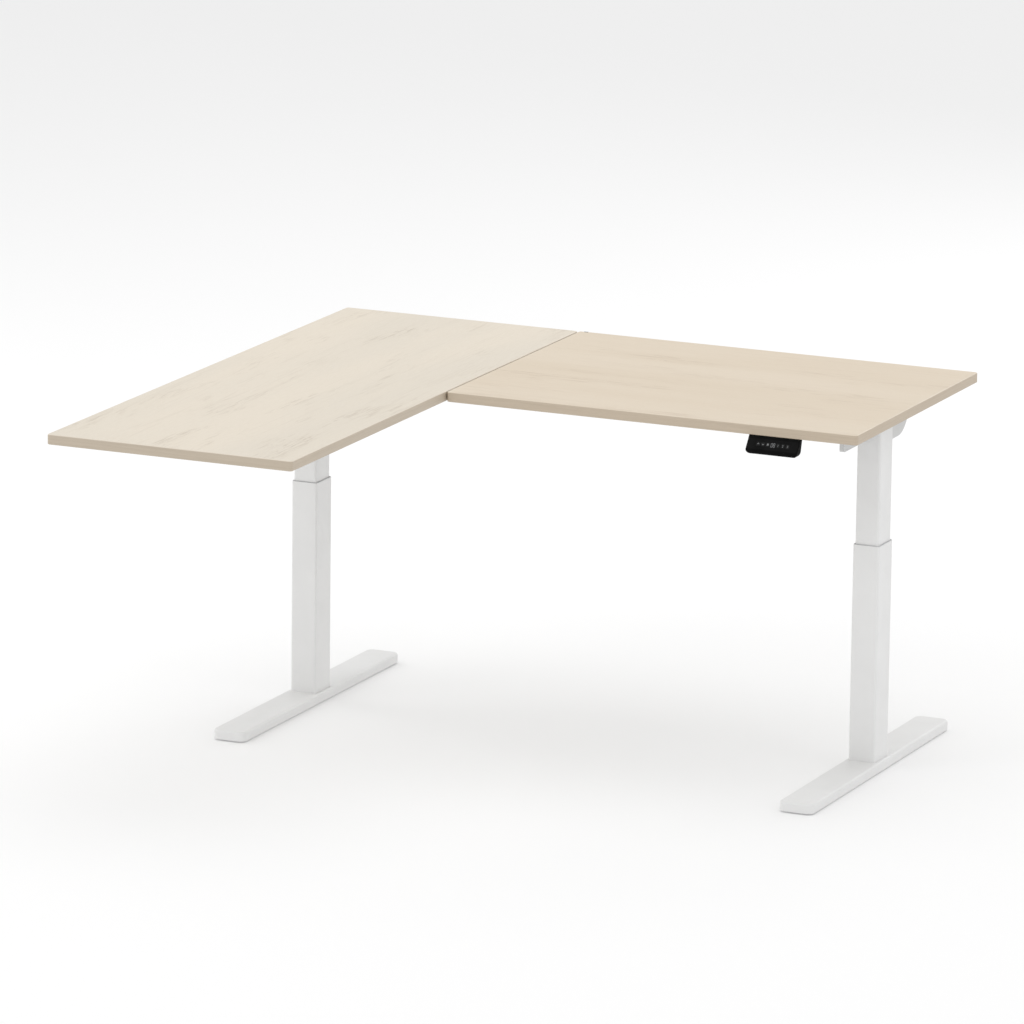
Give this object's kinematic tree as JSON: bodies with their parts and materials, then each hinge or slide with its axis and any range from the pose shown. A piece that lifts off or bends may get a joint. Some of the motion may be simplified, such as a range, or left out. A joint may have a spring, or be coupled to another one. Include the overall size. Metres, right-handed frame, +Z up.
{
  "type": "height adjustable standing desk",
  "caption": "L-shaped sit-stand desk: pale wood main top and long left return on telescopic white T-legs with flat feet, and a black key handset under the front edge.",
  "frame": {"origin": "on the floor, under the middle of the desk's overall plan", "axes": "+X along the main worktop towards the right leg, +Y towards the back edge, +Z up"},
  "size_m": [1.6, 1.55, 0.853],
  "materials": {
    "return_laminate": "matt pale oak laminate, faint grain along the return",
    "main_laminate": "matt pale oak laminate, faint grain along the main top",
    "edge_band": "satin edge band, a shade darker than the top",
    "white_powder_coat": "satin white powder coat with fine texture",
    "grey_glide_plastic": "moulded sliding plastic",
    "bright_steel": "zinc-plated and drawn steel",
    "nut_bronze": "turned bronze",
    "leveller_plastic": "dark moulded pad on a screw",
    "motor_can": "dark painted steel can",
    "gearbox_casting": "die-cast aluminium",
    "circuit_board": "glass-fibre board with parts",
    "handset_gloss": "satin-gloss black panel",
    "key_plastic": "satin black keys with pale grey symbols",
    "handset_plastic": "fine-textured black moulding",
    "lead_sheath": "black flexible sheath",
    "black_plastic": "fine-textured black moulding"
  },
  "bodies": {
    "right_base": {"right_foot": "white_powder_coat", "right_outer_column": "white_powder_coat", "right_upper_glide": "grey_glide_plastic", "right_nut_tube": "bright_steel", "right_drive_nut": "nut_bronze", "right_base_bolts": "bright_steel"},
    "desktop": {"return_top": "return_laminate", "main_top": "main_laminate", "return_edge_band": "edge_band", "main_edge_band": "edge_band", "back_cable_clip": "black_plastic", "left_inner_column": "white_powder_coat", "left_lower_glides": "grey_glide_plastic", "left_motor": "motor_can", "left_gearbox": "gearbox_casting", "left_thrust_bearing": "bright_steel", "left_side_bracket": "white_powder_coat", "right_inner_column": "white_powder_coat", "right_lower_glides": "grey_glide_plastic", "right_motor": "motor_can", "right_gearbox": "gearbox_casting", "right_thrust_bearing": "bright_steel", "right_side_bracket": "white_powder_coat", "crossbeam_left": "white_powder_coat", "crossbeam_right": "white_powder_coat", "crossbeam_core": "white_powder_coat", "support_rails": "white_powder_coat", "seam_plates": "bright_steel", "top_screws": "bright_steel", "frame_bolts": "bright_steel", "control_box_shell": "black_plastic", "control_box_lid": "black_plastic", "control_board": "circuit_board", "mains_inlet": "black_plastic", "motor_leads": "lead_sheath", "handset_lead": "lead_sheath", "lead_clips": "black_plastic", "handset_case": "handset_plastic", "handset_panel": "handset_gloss", "handset_board": "circuit_board"},
    "left_base": {"left_foot": "white_powder_coat", "left_outer_column": "white_powder_coat", "left_upper_glide": "grey_glide_plastic", "left_nut_tube": "bright_steel", "left_drive_nut": "nut_bronze", "left_base_bolts": "bright_steel"},
    "right_spindle": {"right_spindle": "bright_steel", "right_coupling": "bright_steel"},
    "left_spindle": {"left_spindle": "bright_steel", "left_coupling": "bright_steel"},
    "left_front_leveller": {"left_front_leveller": "leveller_plastic"},
    "left_rear_leveller": {"left_rear_leveller": "leveller_plastic"},
    "right_front_leveller": {"right_front_leveller": "leveller_plastic"},
    "right_rear_leveller": {"right_rear_leveller": "leveller_plastic"},
    "key_up": {"key_up": "key_plastic"},
    "key_down": {"key_down": "key_plastic"},
    "key_memory": {"key_memory": "key_plastic"},
    "key_one": {"key_one": "key_plastic"},
    "key_two": {"key_two": "key_plastic"},
    "key_three": {"key_three": "key_plastic"}
  },
  "joints": [
    {"name": "right_lift", "type": "slide", "parent": "right_base", "child": "desktop", "axis": [0, 0, 1], "range_m": [-0.13, 0.26]},
    {"name": "left_lift", "type": "slide", "parent": "desktop", "child": "left_base", "axis": [0, 0, -1], "range_m": [-0.13, 0.26]},
    {"name": "right_spindle_turn", "type": "hinge", "parent": "desktop", "child": "right_spindle", "pos_m": [0.71, 0.365, 0.6], "axis": [0, 0, 1], "continuous": true},
    {"name": "left_spindle_turn", "type": "hinge", "parent": "desktop", "child": "left_spindle", "pos_m": [-0.695, 0.365, 0.6], "axis": [0, 0, 1], "continuous": true},
    {"name": "left_front_leveller_screw", "type": "slide", "parent": "left_base", "child": "left_front_leveller", "axis": [0, 0, -1], "range_m": [-0.0015, 0.008]},
    {"name": "left_rear_leveller_screw", "type": "slide", "parent": "left_base", "child": "left_rear_leveller", "axis": [0, 0, -1], "range_m": [-0.0015, 0.008]},
    {"name": "right_front_leveller_screw", "type": "slide", "parent": "right_base", "child": "right_front_leveller", "axis": [0, 0, -1], "range_m": [-0.0015, 0.008]},
    {"name": "right_rear_leveller_screw", "type": "slide", "parent": "right_base", "child": "right_rear_leveller", "axis": [0, 0, -1], "range_m": [-0.0015, 0.008]},
    {"name": "key_up_press", "type": "slide", "parent": "desktop", "child": "key_up", "axis": [0, 0.8, -0.6], "range_m": [0, 0.0006], "stiffness_N_per_m": 1500, "springref_m": -0.0006},
    {"name": "key_down_press", "type": "slide", "parent": "desktop", "child": "key_down", "axis": [0, 0.8, -0.6], "range_m": [0, 0.0006], "stiffness_N_per_m": 1500, "springref_m": -0.0006},
    {"name": "key_memory_press", "type": "slide", "parent": "desktop", "child": "key_memory", "axis": [0, 0.8, -0.6], "range_m": [0, 0.0006], "stiffness_N_per_m": 1500, "springref_m": -0.0006},
    {"name": "key_one_press", "type": "slide", "parent": "desktop", "child": "key_one", "axis": [0, 0.8, -0.6], "range_m": [0, 0.0006], "stiffness_N_per_m": 1500, "springref_m": -0.0006},
    {"name": "key_two_press", "type": "slide", "parent": "desktop", "child": "key_two", "axis": [0, 0.8, -0.6], "range_m": [0, 0.0006], "stiffness_N_per_m": 1500, "springref_m": -0.0006},
    {"name": "key_three_press", "type": "slide", "parent": "desktop", "child": "key_three", "axis": [0, 0.8, -0.6], "range_m": [0, 0.0006], "stiffness_N_per_m": 1500, "springref_m": -0.0006}
  ],
  "couplings": [
    {"joint": "left_lift", "follows": "right_lift", "ratio": 1},
    {"joint": "right_spindle_turn", "follows": "right_lift", "rad_per_m": 628.32},
    {"joint": "left_spindle_turn", "follows": "right_lift", "rad_per_m": 628.32}
  ]
}
